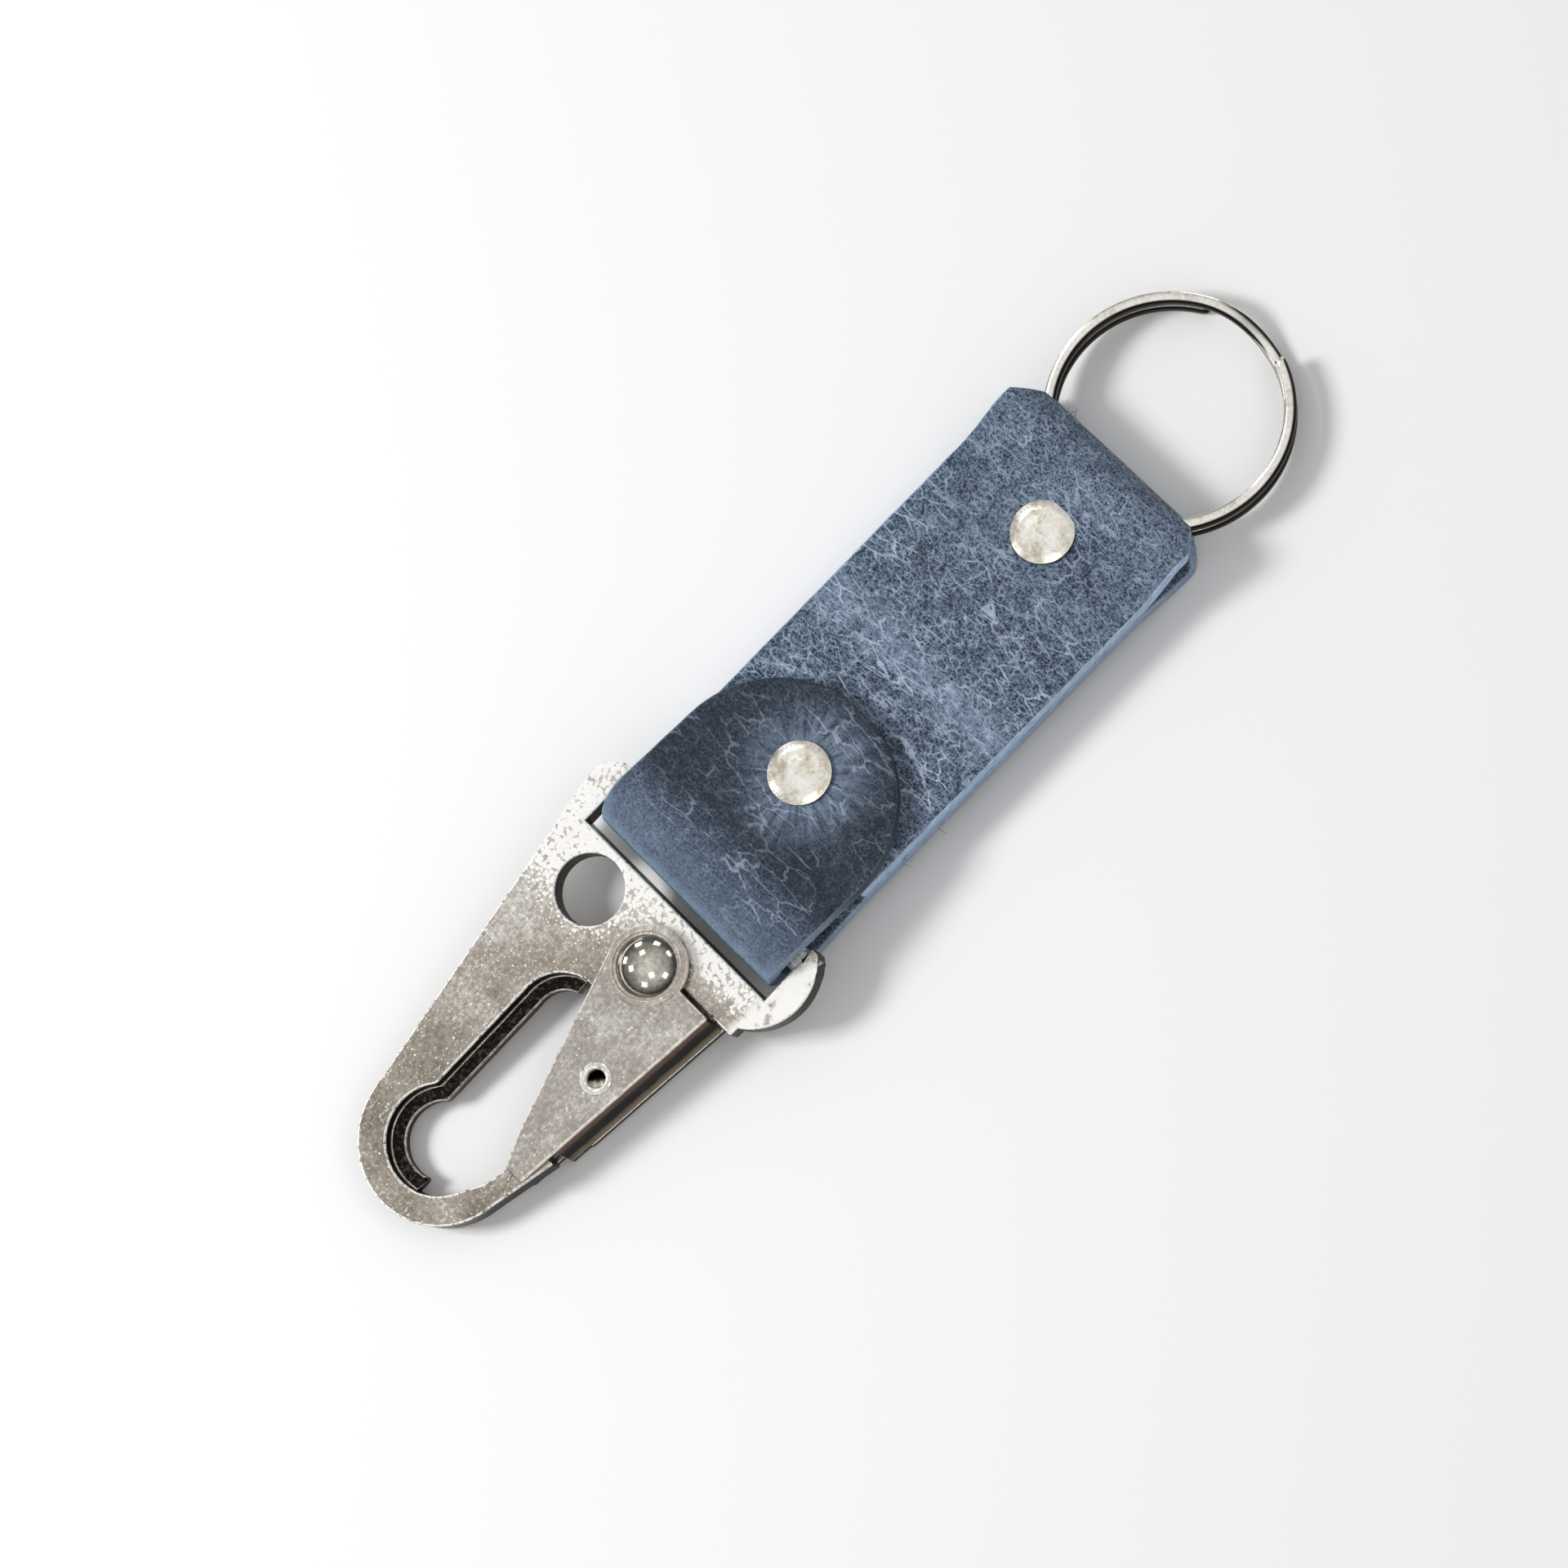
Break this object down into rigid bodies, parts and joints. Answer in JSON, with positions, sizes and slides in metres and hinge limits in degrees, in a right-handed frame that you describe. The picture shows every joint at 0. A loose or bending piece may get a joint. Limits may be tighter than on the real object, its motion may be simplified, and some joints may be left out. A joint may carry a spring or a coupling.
{
  "type": "belt key clip",
  "caption": "Belt key clip: a plated snap hook with a sprung gate and a split key ring, joined by a folded leather strap held with cap rivets.",
  "frame": {"origin": "middle of the footprint, on the plane that the clip lies on, with the tab and the rivet heads up", "axes": "+X runs from the snap hook to the key ring, +Y away from the hook's gate, +Z out of the front face"},
  "size_m": [0.1237, 0.0324, 0.0087],
  "materials": {
    "blue_leather": "slate-blue oiled pull-up leather, crackled, with paler cut edges",
    "plated_zinc": "cast plate with worn nickel plating, fine scratches and pits",
    "plated_steel": "pressed steel with worn nickel plating",
    "polished_steel": "polished nickel plating",
    "spring_steel": "bare spring wire",
    "plated_cap": "warm nickel plating, mottled",
    "ring_steel": "polished nickel plating, brushed inner wall"
  },
  "bodies": {
    "strap": {"strap": "blue_leather", "clip_rivet_cap": "plated_cap", "clip_rivet_post": "plated_cap", "ring_rivet_cap": "plated_cap", "ring_rivet_post": "plated_cap"},
    "hook": {"hook_body": "plated_zinc", "gate_pivot_rivet": "polished_steel", "gate_spring": "spring_steel"},
    "gate": {"gate": "plated_steel", "spring_pin": "polished_steel"},
    "ring": {"split_ring": "ring_steel"}
  },
  "joints": [
    {"name": "clip_swing", "type": "hinge", "parent": "strap", "child": "hook", "pos_m": [-0.01512, 0, 0.00462], "axis": [0, 1, 0], "range_deg": [-90, 90]},
    {"name": "gate_pivot", "type": "hinge", "parent": "hook", "child": "gate", "pos_m": [-0.0261, -0.0023, 0.004], "axis": [0.0564, 0, -0.9984], "range_deg": [0, 30], "stiffness_Nm_per_rad": 0.05, "springref_deg": -45.84, "deforming": ["gate_spring"]},
    {"name": "ring_swing", "type": "hinge", "parent": "strap", "child": "ring", "pos_m": [0.03881, 0, 0.00367], "axis": [0, -1, 0], "range_deg": [-4.5, 29]}
  ]
}
